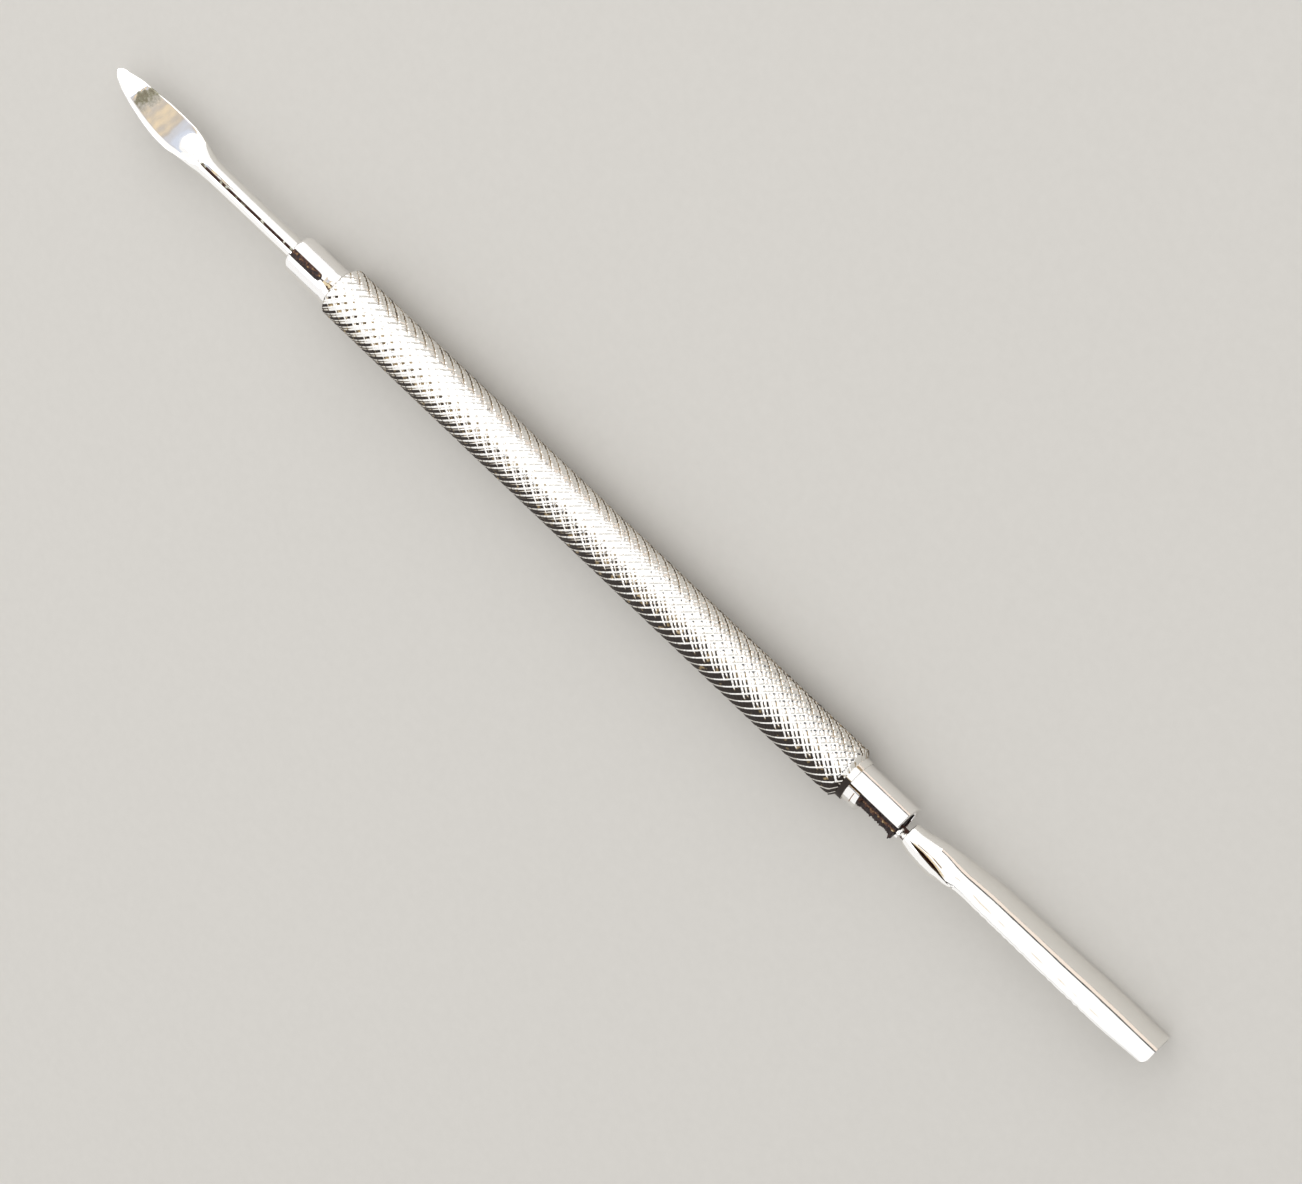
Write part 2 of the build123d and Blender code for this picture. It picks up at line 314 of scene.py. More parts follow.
def fan(first, columns, centre):
    """Triangles from a ring to one centre point."""
    column = np.arange(columns)
    after = (column + 1) % columns
    return np.stack([first + column, first + after, np.full(columns, centre)], axis=-1)


def mirror_strip(first, columns):
    """Quads across a C-shaped end, between column k and the column k places before the last."""
    k = np.arange(columns // 2 - 1)
    last = first + columns - 1
    return np.stack([first + k, first + k + 1, last - 1 - k, last - k], axis=-1)


def swept(sections, start="fan", end="fan"):
    """Closed body from sections along X, each end closed by a fan or a strip across the wall."""
    rows, columns = sections.shape[:2]
    points = sections.reshape(-1, 3)
    faces = [closed_rows(rows, columns)]
    for kind, row, flip in ((start, 0, -1), (end, rows - 1, 1)):
        if kind == "fan":
            points = np.vstack([points, sections[row].mean(axis=0)])
            faces.append(fan(row * columns, columns, len(points) - 1)[:, ::flip])
        else:
            faces.append(mirror_strip(row * columns, columns)[:, ::flip])
    return points, faces


def bored(skin, x, radius, angles, side):
    """Closed tube: sections of its skin along X, a smooth bore back, and a last ring of faces."""
    body = np.concatenate([skin, around(x[::-1, None], radius, angles, side)])
    rows, columns = body.shape[:2]
    column = np.arange(columns)
    after, last = (column + 1) % columns, (rows - 1) * columns
    closing = np.stack([last + column, last + after, after, column], axis=-1)
    return body.reshape(-1, 3), [closed_rows(rows, columns), closing]


def volume(points, faces):
    """Signed volume: a sixth of the sum of a . (b x c) over the faces cut into triangles."""
    total = 0.0
    for group in faces:
        for k in range(1, group.shape[1] - 1):
            a, b, c = points[group[:, 0]], points[group[:, k]], points[group[:, k + 1]]
            total += np.einsum("ij,ij->", a, np.cross(b, c)) / 6
    return total


def make_piece(name, points, faces, material, attributes, sharp=40.0):
    """Puts the arrays into a mesh, marks edges over sharp degrees, and hides the CAD node.

    An attribute that is shorter than the list of points is 0 on the rest of them.
    """
    if volume(points, faces) < 0:
        faces = [group[:, ::-1] for group in faces]
    counts = np.concatenate([np.full(len(group), group.shape[1]) for group in faces])
    corners = np.concatenate([group.ravel() for group in faces])
    mesh = bpy.data.meshes.new(name)
    mesh.vertices.add(len(points))
    mesh.vertices.foreach_set("co", (to_bench(points) * MM).ravel())
    mesh.loops.add(len(corners))
    mesh.loops.foreach_set("vertex_index", corners.astype(np.int32))
    mesh.polygons.add(len(counts))
    mesh.polygons.foreach_set("loop_start", (np.cumsum(counts) - counts).astype(np.int32))
    mesh.polygons.foreach_set("use_smooth", np.ones(len(counts), dtype=bool))
    mesh.update(calc_edges=True)
    mesh.validate()
    mesh.set_sharp_from_angle(angle=math.radians(sharp))
    for key, values in attributes.items():
        padded = np.zeros(len(points))
        padded[:values.size] = values.ravel()
        mesh.attributes.new(key, "FLOAT", "POINT").data.foreach_set("value", padded)
    mesh.materials.append(material)
    piece = bpy.data.objects.new(name + "_surface", mesh)
    bpy.context.collection.objects.link(piece)
    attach(piece, "root")
    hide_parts(name)
    triangles = int((counts - 2).sum())
    print(f"{name}: {len(points)} points, {triangles} triangles, {volume(points, faces):+.2f} mm3")


def eased(x, start, end):
    """0 before start, 1 after end, and 3t^2 - 2t^3 between them."""
    t = np.clip((x - start) / (end - start), 0.0, 1.0)
    return t * t * (3 - 2 * t)


def curved(count):
    """Shares from 0 to 1 as a quarter circle rises, closest together at 0."""
    return 1 - np.cos(np.linspace(0, math.pi / 2, count))


def flowing(x, stations, values):
    """Smooth line through rows of values: cubic pieces, sloped as the rows on both sides lie."""
    slopes = np.gradient(values, stations, axis=0)
    k = np.clip(np.searchsorted(stations, x) - 1, 0, len(stations) - 2)
    width = (stations[k + 1] - stations[k])[:, None]
    t = np.clip((x - stations[k])[:, None] / width, 0, 1)
    low, high = values[k], values[k + 1]
    curve = low * (1 + 2 * t) * (1 - t) ** 2 + high * t * t * (3 - 2 * t)
    return curve + width * (slopes[k] * t * (1 - t) ** 2 + slopes[k + 1] * t * t * (t - 1))


def lumps(points, size, seed, waves=40):
    """Bumps of about that size, mostly from -1 to 1: a sum of sine waves in seeded directions."""
    draw = np.random.default_rng(seed)
    heading = draw.normal(size=(3, waves))
    heading *= 2 * math.pi / size / np.linalg.norm(heading, axis=0) * draw.uniform(0.6, 1.6, waves)
    phase = draw.uniform(0, 2 * math.pi, waves)
    return np.sin(points @ heading + phase).sum(axis=-1) / math.sqrt(waves) / 1.6


# %% [markdown]
# ## Knurled sleeve
# A knurling wheel presses two sets of helical ridges into the tube, one leaning each way, and
# leaves small diamond pits between them. The photograph, unrolled, shows 34 ridges round the tube
# in each set, 0.642 mm apart along the tube in the set that leans back and 0.478 mm in the set
# that leans on. Every second ridge is lower, most of all those that lean on near the pusher.
#
# A bump map would leave the outline smooth, so the ridges are real. The mesh follows the ridges:
# its points sit on a lattice of thirds of a ridge in both directions. A ridge is two points wide
# and a valley is one: a point on a ridge of either set is high, and a pit is left where two
# valleys cross. Both ends are then turned down to a chamfer, which cuts the crests off.

# %% Sizes of the sleeve
STARTS = 34
LEANING_BACK, LEANING_ON = 0.642, 0.478
PIT_DEPTH = 0.14
crest_radius = 2.69
half_sleeve = 33.8
spear_rim, spear_chamfer = 2.4, 0.3
lip_radius, lip_length, pusher_chamfer = 2.18, 0.68, 0.45
bore_radius = 2.03
# The blade, its ferrule and its bore lie this far beside the handle's axis.
blade_side = -0.2

# %% Ridges and pits
columns = 3 * STARTS
row_step = 1 / (1 / LEANING_BACK + 1 / LEANING_ON) / 3
knurl_start, knurl_end = -half_sleeve + 0.1, half_sleeve - lip_length
last_row = round((knurl_end - knurl_start) / row_step)
row = np.arange(last_row + 1)[:, None]
column = np.arange(columns)[None, :]
x = knurl_start + (knurl_end - knurl_start) * row / last_row + 0 * column
shift_per_row = 3 * row_step / LEANING_BACK
angle = 2 * math.pi / columns * (column - row * shift_per_row)
# Place in the pattern, in thirds of a ridge, and the height at the six places over the deepest
# pits in mm, at seven stations along X. The full ridge is at 0 and 1, the lower one at 3 and 4,
# a shallow valley at 2 and a deep one at 5.
SHALLOW, DEEP = 2, 5
back_place = (column + 0 * row + 4) % 6
on_place = (row - column) % 6
back_full = 0.09
stations = [-34, -24, -12, 0, 12, 20, 34]
back_table = [[.075, .075, .08, .08, .085, .09, .09], [back_full] * 7,
              [.07, .067, .055, .045, .04, .04, .04], [.075] * 7,
              [.05, .05, .055, .06, .07, .075, .075], [0] * 7]
on_table = [[.07, .085, .11, .115, .12, .13, .13], [.11, .11, .115, .115, .12, .13, .13],
            [.085, .085, .075, .06, .03, 0, 0], [.10, .10, .10, .10, .085, .05, .035],
            [.095, .085, .06, .065, .07, .045, .035], [0] * 7]
back_height, on_height = (
    np.choose(place, [np.interp(x, stations, heights) + 0 * place for heights in table])
    for place, table in ((back_place, back_table), (on_place, on_table)))
on_full = np.interp(x, stations, on_table[1])
# Metal piles up where two crests cross, and wear takes up to about 0.015 mm off again.
height = np.maximum(back_height, on_height) + 0.3 * np.minimum(back_height, on_height)
height = np.minimum(height, PIT_DEPTH)
wear = lumps(around(x, crest_radius, angle), 1.5, seed=3) * 0.015
radius = crest_radius - PIT_DEPTH + height - np.abs(wear)
cone = np.minimum(
    np.interp(x, [-half_sleeve, -half_sleeve + spear_chamfer], [spear_rim, crest_radius]),
    np.interp(x, [knurl_end - pusher_chamfer, knurl_end], [crest_radius, lip_radius]))
radius = np.minimum(radius, cone - 0.5 * (PIT_DEPTH - height) * (cone < crest_radius))
knurl = around(x, radius, angle)

# %% Grime and painted shade on the sleeve
# Grime and painted shade fill the pits up to a line: high on the -Y side, which is painted in
# shade, and low on the lit +Y side. On the +Y side painted shade also draws thin lines along the
# valleys that lean back, most of all the deep ones.
# Each table has a row for the spear's end, the middle and the pusher's end. A row gives values at
# these angles, and its rest, from 10 degrees on, is the same in all three.
degrees = np.degrees((angle + math.pi) % (2 * math.pi) - math.pi)
turns = [-180, -75, -60, -48, -38, -28, -15, -5, 10, 28, 50, 65, 80, 180]
back_rest, on_rest = [0.4, 0.3, 0.45, 0.70, 1.0, 0.8], [0.4, 0.3, 0.45, 0.60, 0.8, 0.8]
pit_rest = [0.05, 0.0, 0.06, 0.20, 0.5, 0.8]
back_lines = [[0.8, 1.30, 1.20, 1.05, 0.87, 0.82, 0.79, 0.65] + back_rest,
              [0.8, 1.35, 1.25, 1.10, 0.89, 0.80, 0.72, 0.57] + back_rest,
              [0.8, 1.40, 1.40, 1.34, 1.04, 0.84, 0.72, 0.52] + back_rest]
on_lines = [[0.8, 0.90, 0.88, 0.84, 0.79, 0.76, 0.74, 0.60] + on_rest,
            [0.8, 0.92, 0.90, 0.86, 0.80, 0.78, 0.72, 0.57] + on_rest,
            [0.8, 0.92, 0.92, 0.92, 0.91, 0.83, 0.72, 0.48] + on_rest]
pit_shares = [[0.8, 1.20, 1.20, 1.05, 0.70, 0.50, 0.46, 0.30] + pit_rest,
              [0.8, 1.30, 1.30, 1.15, 0.98, 0.80, 0.60, 0.30] + pit_rest,
              [0.8, 1.40, 1.40, 1.40, 1.30, 1.10, 0.85, 0.40] + pit_rest]
on_skin = around(x, crest_radius, angle)
patches = lumps(on_skin, 2.2, seed=8)
speckle = np.clip(1 + 0.25 * patches + 0.6 * lumps(on_skin, 0.8, seed=9), 0.3, 1.8)
to_middle, to_right = eased(x, -26, -6), eased(x, 8, 24)


def along_sleeve(table):
    """A table's values at every point: each row by angle, and eased along X from row to row."""
    at_left, at_middle, at_right = (np.interp(degrees, turns, line) for line in table)
    return at_left + (at_middle - at_left) * to_middle + (at_right - at_middle) * to_right


# Far down the -Y side painted shade also bridges the ridges that lean on, where they cross a
# deep valley.
bridging = np.interp(degrees, [-180, -90, -60, -45], [0, 1, 1, 0])
bridged = 0.16 * (back_place == DEEP) * bridging * (1 - to_right)
pit_share = along_sleeve(pit_shares) * speckle
line_share = np.interp(degrees, [12, 32, 45, 60, 80, 110], [0.0, 0.22, 0.42, 0.6, 0.9, 0.5])
valley_share = 0.45 * (back_place == SHALLOW) + 1.0 * (back_place == DEEP)
grime_and_shade = line_share * valley_share * (0.8 + 0.35 * patches)
# On the turned ends it stays only in the pits beside the lip, and the lip itself is painted in
# shade, darkest on its -Y side, with a thin painted dark line near 25 degrees.
uncut = cone > crest_radius - 0.1
lip_painted_shade = np.interp(degrees, [-180, -95, -75, -16, -8, 20, 25, 30, 180],
                     [0.2, 0.3, 1.0, 1.0, 0.0, 0.0, 0.35, 0.1, 0.2])
grime_and_shade = np.where(uncut, np.clip(grime_and_shade, 0, 1), 0.8 * lip_painted_shade * (x > 0) * (height < 0.1))

# %% Sleeve mesh
turned_columns = int(last_row * shift_per_row)
ring_angle = angle[-1]
lip = [(knurl_end + 0.04, lip_radius), (half_sleeve - 0.06, lip_radius),
       (half_sleeve - 0.015, lip_radius - 0.02), (half_sleeve, lip_radius - 0.06),
       (half_sleeve, bore_radius + 0.02), (half_sleeve - 0.05, bore_radius)]
bore = [(-half_sleeve + 0.05, bore_radius), (-half_sleeve, bore_radius + 0.02)]
rim = [(-half_sleeve, spear_rim - 0.05), (-half_sleeve + 0.03, spear_rim)]
rings = [around(at, size, ring_angle, side)
         for line, side in ((lip, 0.0), (bore, blade_side), (rim, 0.0)) for at, size in line]
points = np.vstack([knurl.reshape(-1, 3)] + rings)

# Diamonds follow the ridges, and triangles fill both ends of the knurl. Then come the rings, and
# quads through the bore close the body.
after = (column + 1) % columns
here = row[:-2] * columns
diamonds = np.stack([here + column, here + columns + after, here + 2 * columns + after,
                     here + columns + column], axis=-1)
across_start = np.stack([column, after, columns + after], axis=-1)
last = last_row * columns
across_end = np.stack([last + column, last - columns + column, last + after], axis=-1)
final = last + len(rings) * columns
back_to_start = (column - turned_columns) % columns
closing = np.stack([final + column, final + after, (back_to_start + 1) % columns,
                    back_to_start], axis=-1)
faces = [diamonds.reshape(-1, 4), across_start.reshape(-1, 3)[:, ::-1],
         across_end.reshape(-1, 3)[:, ::-1], closed_rows(len(rings) + 1, columns, last),
         closing.reshape(-1, 4)]
# The first three rings of the lip carry its painted shade too.
looks = {"grime_and_shade": np.vstack([grime_and_shade] + 3 * [lip_painted_shade[-1]]),
         "back_ridge": back_height / back_full, "on_ridge": on_height / on_full,
         "back_line": along_sleeve(back_lines), "on_line": along_sleeve(on_lines) + bridged,
         "pit_share": pit_share}
make_piece("knurled_sleeve", points, faces, plated_knurl, looks, sharp=24.0)

# %% [markdown]
# ## Split collars
# Each ferrule is a strip of sheet rolled to a tube, so it is a C in section, and the two edges of
# the strip meet in a seam. On the blade's side the seam opens into a round-ended slot, and on the
# pusher's side the lower lip is cut away into a wide notch. Both openings are the same thing in
# numbers: the angle at which the C starts and the angle at which it ends change along the tube.

# %% Sizes of the collars
collar_radius, collar_wall = 2.02, 0.45
collar_insertion = 8.0
inner_lip = 0.12


def split_collar(x, outer, inner, first, last, side, columns=90):
    """C-shaped wall along X: outer arc, its bevelled edge, inner arc back, its bevelled edge.

    x, outer, inner, first and last hold one value for each section, and angles are in radians.
    """
    share = np.linspace(0, 1, columns)[None, :]
    x, outer, inner, first, last = (v[:, None] for v in (x, outer, inner, first, last))
    bevel = 0.05 / outer
    edge = (outer - inner) * 0.12
    arc = first + bevel + (last - first - 2 * bevel) * share
    angles = np.concatenate([first, arc, last, last, arc[:, ::-1], first], axis=1)
    radii = np.concatenate([outer - edge, outer + 0 * arc, outer - edge, inner + edge,
                            inner + 0 * arc, inner + edge], axis=1)
    return around(x, radii, angles, side)


def mouth_profile(depth, length, drop):
    """Outer and inner radius at a depth behind the mouth, whose lips are rounded.

    The outer lip is a quarter ellipse, drop deep and length long. The inner one is a quarter
    circle.
    """
    short = np.clip(length - depth, 0, length) / length
    fall = drop * (1 - np.sqrt(1 - short ** 2))
    inner_short = np.clip(inner_lip - depth, 0, inner_lip)
    rise = inner_lip - np.sqrt(inner_lip ** 2 - inner_short ** 2)
    return collar_radius - fall, collar_radius - collar_wall + rise


# %% Blade ferrule
blade_mouth = -half_sleeve - 5.75
slot_angle = math.radians(-9.5)
slot_half, slot_round_start, slot_end = 0.41, blade_mouth + 3.75, blade_mouth + 4.3
x = np.unique(np.concatenate([
    blade_mouth + 0.5 * curved(14),
    np.linspace(blade_mouth + 0.5, slot_round_start, 14),
    slot_end - (slot_end - slot_round_start) * curved(14),
    np.linspace(slot_end, -half_sleeve, 12),
    [-half_sleeve + 0.3, -half_sleeve + collar_insertion]]))
outer, inner = mouth_profile(x - blade_mouth, 0.5, 0.3)
# Towards the sleeve the collar swells, and its seam opens again beyond the slot.
outside = x < -half_sleeve + 0.1
outer = outer + 0.06 * eased(x, -half_sleeve - 1.2, -half_sleeve - 0.3) * outside
past_straight = np.clip(x - slot_round_start, 0, None) / (slot_end - slot_round_start)
rounding = np.sqrt(np.clip(1 - past_straight ** 2, 0, 1))
seam_half = 0.05 + 0.22 * eased(x, slot_end, -half_sleeve) * outside
opening = np.maximum(slot_half * rounding, seam_half) / collar_radius
sections = split_collar(x, outer, inner, slot_angle + opening,
                        slot_angle + 2 * math.pi - opening, blade_side)
points, faces = swept(sections, "strip", "strip")
make_piece("blade_ferrule", points, faces, plated_collar,
           {"grime_and_shade": np.zeros(len(points))})

# %% Pusher ferrule
pusher_mouth = half_sleeve + 5.75
notch_start = pusher_mouth - 4.3
crack = notch_start - 0.65
seam_angle = math.radians(-18.0)
notch_far = math.radians(220.0)
x = np.unique(np.concatenate([
    [half_sleeve - collar_insertion], np.linspace(half_sleeve - 0.3, notch_start - 0.2, 8),
    crack + np.array([-0.1, -0.06, -0.03, 0.0, 0.03, 0.06, 0.1]),
    notch_start + 0.16 * -np.cos(np.linspace(0, math.pi, 25)),
    np.linspace(notch_start + 0.2, pusher_mouth - 0.2, 12),
    pusher_mouth - 0.2 * curved(9)]))
outer, inner = mouth_profile(pusher_mouth - x, 0.15, 0.12)
swing = eased(x, notch_start - 0.16, notch_start + 0.16)
first = seam_angle + 0.06 / collar_radius + 0 * x
last = seam_angle + 2 * math.pi - 0.08 / collar_radius
last = last + (notch_far - last) * swing
sections = split_collar(x, outer, inner, first, last, 0.0)
points, faces = swept(sections, "strip", "strip")
# A hair crack runs from the seam down the tab, and the metal beside the seam is stained.
turned = np.degrees(np.arctan2(sections[..., 1], sections[..., 2]))
grime_and_shade = 0.6 * np.exp(-((x[:, None] - crack) / 0.035) ** 2) * (turned < -26) * (turned > -62)
grime_and_shade = np.maximum(grime_and_shade, 0.3 * np.exp(-((turned + 20) / 2.0) ** 2) * (x < notch_start)[:, None])
make_piece("pusher_ferrule", points, faces, plated_collar, {"grime_and_shade": grime_and_shade})

# %% [markdown]
# ## Spear blade
# The blade starts as a rolled shank with an open seam. Its end is pressed flat, ground to a leaf
# and given a bevel along its lower edge. So one body runs from a flat section to a round one:
# each section is described by v, from 1 at the upper edge over the top to -1 at the lower edge.
# A flat section spreads v evenly over its width, a round one takes v as an angle, and a share
# that grows along the shoulder mixes the two.

# %% Sizes of the blade
blade_tip, shoulder_start, shank_start = -66.45, -56.9, -51.45
shank_radius = 1.12
blade_end = blade_mouth + 7.5
# Outline seen from above: station, lower edge, upper edge, height of the top face.
leaf = np.array([
    [-66.45, 0.62, 0.70, 0.213], [-66.2, 0.33, 0.96, 0.219], [-65.2, -0.27, 1.23, 0.241],
    [-63.6, -0.83, 1.54, 0.277], [-62.0, -1.22, 1.64, 0.313], [-60.4, -1.54, 1.74, 0.349],
    [-59.6, -1.66, 1.79, 0.367], [-58.8, -1.75, 1.81, 0.3856], [-58.3, -1.78, 1.81, 0.3982],
    [-57.9, -1.79, 1.81, 0.4092], [-57.5, -1.80, 1.81, 0.4223], [-56.9, -1.79, 1.80, 0.4495],
    [-56.4, -1.74, 1.79, 0.480], [-55.9, -1.63, 1.76, 0.5245], [-55.4, -1.57, 1.69, 0.587],
    [-54.6, -1.49, 1.52, 0.70], [-53.5, -1.42, 1.26, 0.88], [-52.5, -1.37, 1.05, 1.02],
    [-51.45, -1.33, 0.94, 1.09], [-49.8, -1.32, 0.92, 1.12], [blade_end, -1.32, 0.92, 1.12]])
# In terms of v: the seam and half its width, and the line where the bevel begins.
seam_v, seam_half_v = -0.13, 0.082
bevel_v, bevel_drop = -0.667, 0.25
seam_start, seam_full, seam_depth = -53.3, -51.8, 0.3
# The last grinding ends on this line, which slants with y, and adds this slope.
line_x, line_slant, added_slope = -63.2, 0.3, 0.062

# %% Spear blade
top_v = np.concatenate([
    1 - curved(7) * 0.12, np.linspace(0.8, 0.0, 16),
    seam_v + seam_half_v * np.array([1.6, 1.15, 1.0, 0.75, 0, -0.75, -1.0, -1.15, -1.6]),
    np.linspace(-0.26, bevel_v + 0.02, 9), [bevel_v], np.linspace(bevel_v - 0.02, -0.9, 5),
    -1 + curved(7)[::-1] * 0.08])
in_seam = np.isclose(np.abs(top_v - seam_v), 0.75 * seam_half_v) | np.isclose(top_v, seam_v)
bottom_v = np.linspace(-1, 1, 42)[1:-1]
x = np.unique(np.concatenate([
    blade_tip + 0.5 * curved(10), np.linspace(-65.95, -49.8, 110), np.linspace(-64.2, -61.6, 40),
    np.linspace(-49.8, blade_mouth, 60), [blade_mouth + 0.5, blade_end]]))
low, high, top = flowing(x, leaf[:, 0], leaf[:, 1:]).T[:, :, None]
roundness = eased(x, shoulder_start, shank_start)[:, None]
v = np.concatenate([top_v, bottom_v])[None, :]
# The upper edge is nearly square, and the lower one is softer.
flat = np.clip(1 - np.abs(v) ** np.where(v > 0, 34, 14), 0, 1) ** (1 / 6)
bevel = np.clip((bevel_v - v) / (1 + bevel_v), 0, 1)
bevel = bevel_drop * bevel * eased(x, -65.9, -64.3)[:, None]
over = np.concatenate([np.ones(len(top_v)), -np.ones(len(bottom_v))])[None, :]
level = (1 - roundness) * (flat - bevel * (over > 0)) + roundness * np.cos(math.pi / 2 * v)
sideways = (1 - roundness) * v + roundness * np.sin(math.pi / 2 * v)
y = (high + low) / 2 + (high - low) / 2 * sideways
# The tip was ground last, 3.5 degrees steeper, as far as a ragged line. Hand grinding also
# leaves the face wavy by about a micron.
face = np.stack([x[:, None] + 0 * y, y, 0 * y], axis=-1)
ground_to = line_x + line_slant * np.clip(y, 0, None)
steeper = added_slope * np.clip(ground_to - x[:, None], 0, None)
steeper += 0.0035 * lumps(face, 0.5, seed=21) * np.exp(-((x[:, None] - ground_to) / 0.4) ** 2)
waves = 0.0012 * lumps(face, 1.3, seed=22) * (1 - roundness) * (over > 0)
z = over * (top - steeper * np.where(over > 0, 1.0, 0.7)) * level + waves * flat
seam_columns = np.concatenate([in_seam, np.zeros(len(bottom_v), bool)])[None, :]
groove = eased(x, seam_start, seam_full)[:, None] * seam_columns
z = z - seam_depth * groove
sections = np.stack([x[:, None] + 0 * y, y, z], axis=-1)
points, faces = swept(sections)

# %% Seam grime and a tinted strip on the blade
patches = np.clip(0.62 + 0.7 * lumps(face, 0.7, seed=23), 0.2, 1)
# Where the two grindings meet, a ragged strip is tinted a matt grey.
ragged = (x[:, None] - ground_to - 0.5 - 0.25 * lumps(face, 0.8, seed=24)) / 0.4
strip = 0.28 * np.exp(-(ragged / np.where(ragged > 0, 5.5, 1)) ** 2)
strip = strip * (over > 0) * (v > bevel_v + 0.05)
strip = strip * np.interp(y, [-1.2, -0.3], [0.8, 1]) * (0.97 + 0.12 * lumps(face, 0.5, seed=25))
make_piece("spear_blade", points, faces, ground_steel,
           {"grime_and_shade": np.maximum(groove * patches, strip)}, sharp=30.0)

# %% [markdown]
# ## Pusher
# The pusher is a rolled cone whose far end is pressed to a double layer and bent into a gutter.
# Its seam stays open on the neck as a narrow lens-shaped gap. A section is one closed line of
# four parts: crown, far fold, inside and near fold. On the neck all four lie on a circle, and on
# the gutter they lie on two concentric arcs and the folds between them.

# %% Sizes of the pusher
neck_start, neck_end, gutter_start, pusher_tip = 40.35, 44.05, 49.15, 68.55
FIRST, LAST, FOLD = math.radians(-5.0), math.radians(89.0), math.radians(86.0)
CORNER, LIP = 0.6, 0.12
press_start, press_end = neck_end - 0.8, 47.0
crown_height, gap_depth = 1.53, 0.5
# The trace of the seam: its share of the crown and half its width, and where it runs along X
# beside the gap and, faded in, on the crown.
trace_share, trace_half = 0.075, 0.01
neck_trace_start, neck_trace_end = 41.7, 44.7
crown_trace_start, crown_trace_full, crown_trace_end = 44.9, 46.0, 63.7
# Outline seen from above: station, lower edge, upper edge.
outline = np.array([
    [40.35, -1.33, 1.01], [41.34, -1.57, 1.13], [42.22, -1.68, 1.33], [43.09, -1.75, 1.52],
    [43.97, -1.76, 1.67], [44.85, -1.55, 1.81], [45.72, -1.42, 1.93], [46.59, -1.18, 2.03],
    [47.46, -1.12, 2.13], [49.19, -1.12, 2.32], [52.0, -1.13, 2.39], [58.6, -1.14, 2.52],
    [62.0, -1.13, 2.61], [64.5, -1.06, 2.625], [66.5, -0.92, 2.615], [68.55, -0.80, 2.615]])
# Open gap of the seam seen from above: station, lower lip, upper lip.
gap = np.array([
    [40.9, -0.63, -0.62], [41.3, -0.72, -0.59], [42.6, -0.90, -0.55], [43.9, -1.02, -0.66],
    [44.8, -1.05, -0.86], [46.1, -1.11, -1.10]])


def circle_section(x, radius, side, shares):
    """Points on a circle at the angles of the four parts' shares."""
    crown, far, inside, near = shares
    span = LAST - FIRST
    back = LAST + FOLD
    angles = np.concatenate([FIRST + span * crown, LAST + FOLD * far, back + span * inside,
                             back + span + FOLD * near], axis=1)
    return around(x[:, None], radius[:, None], angles, side[:, None])


def gutter_section(x, radius, thickness, side, first, last, shares):
    """Points on the crown arc, a half-round fold, the inner arc and a half-round fold."""
    crown, far, inside, near = shares
    x, radius, thickness, side, first, last = (
        v[:, None] for v in (x, radius, thickness, side, first, last))
    middle, half = radius - thickness / 2, thickness / 2
    inset = half / radius
    begin, end = first + inset, last - inset
    far, near = math.pi * far, math.pi + math.pi * near
    parts = ((begin + (end - begin) * crown, radius + 0 * crown),
             (end + half * np.sin(far) / middle, middle + half * np.cos(far)),
             (end + (begin - end) * inside, radius - thickness + 0 * inside),
             (begin + half * np.sin(near) / middle, middle + half * np.cos(near)))
    angle, reach = (np.concatenate(values, axis=1) for values in zip(*parts))
    return np.stack([x + 0 * angle, side + reach * np.sin(angle),
                     crown_height - radius + reach * np.cos(angle)], axis=-1)


# %% Pusher sections


def scoop_sections(x, near):
    """Sections from the neck's circles to the gutter's strips, fitted to the outline from above.

    The share of the strip in the mix grows along the press. Then y is stretched so that the
    lowest and highest point of the uncut section meet the outline at that station.
    """
    ones = np.ones((len(x), 1))
    shares = (crown_share * ones, far_share * ones, inside_share * ones, near)
    neck_radius = np.interp(x, [neck_start, neck_end], [1.19, 1.71])
    neck_side = np.interp(x, [neck_start, neck_end], [-0.16, -0.06])
    lip_fall = LIP - np.sqrt(LIP ** 2 - np.clip(neck_start + LIP - x, 0, LIP) ** 2)
    ring = circle_section(x, neck_radius, neck_side, shares)
    stations = [46.55, gutter_start, pusher_tip]
    radius = np.interp(x, stations, [2.92, 3.18, 3.5])
    wall = np.interp(x, stations, [1.4, 0.9, 0.5])
    side = np.interp(x, stations[:2], [-0.9, -0.85])
    thin = np.sqrt(np.clip(1 - (np.clip(x - pusher_tip + 0.15, 0, 0.15) / 0.15) ** 2, 0, 1))
    cut = CORNER - np.sqrt(CORNER ** 2 - np.clip(x - pusher_tip + CORNER, 0, CORNER) ** 2)
    turn_in = 0.95 * cut / radius
    pressing = eased(x, press_start, press_end)[:, None, None]
    whole = gutter_section(x, radius, wall, side, FIRST + 0 * x, LAST + 0 * x, shares)
    whole = (1 - pressing) * ring + pressing * whole
    trimmed = gutter_section(x, radius, wall * (0.55 + 0.45 * thin), side,
                             FIRST + turn_in, LAST - turn_in, shares)
    trimmed = (1 - pressing) * ring + pressing * trimmed
    low, high = flowing(x, outline[:, 0], outline[:, 1:]).T[:, :, None]
    lowest = whole[..., 1].min(axis=1, keepdims=True)
    highest = whole[..., 1].max(axis=1, keepdims=True)
    trimmed[..., 1] = low + (trimmed[..., 1] - lowest) * (high - low) / (highest - lowest)
    middle = np.stack([x, (low + high)[:, 0] / 2, 0 * x], axis=-1)[:, None, :]
    return trimmed + (middle - trimmed) * (lip_fall / neck_radius)[:, None, None], middle


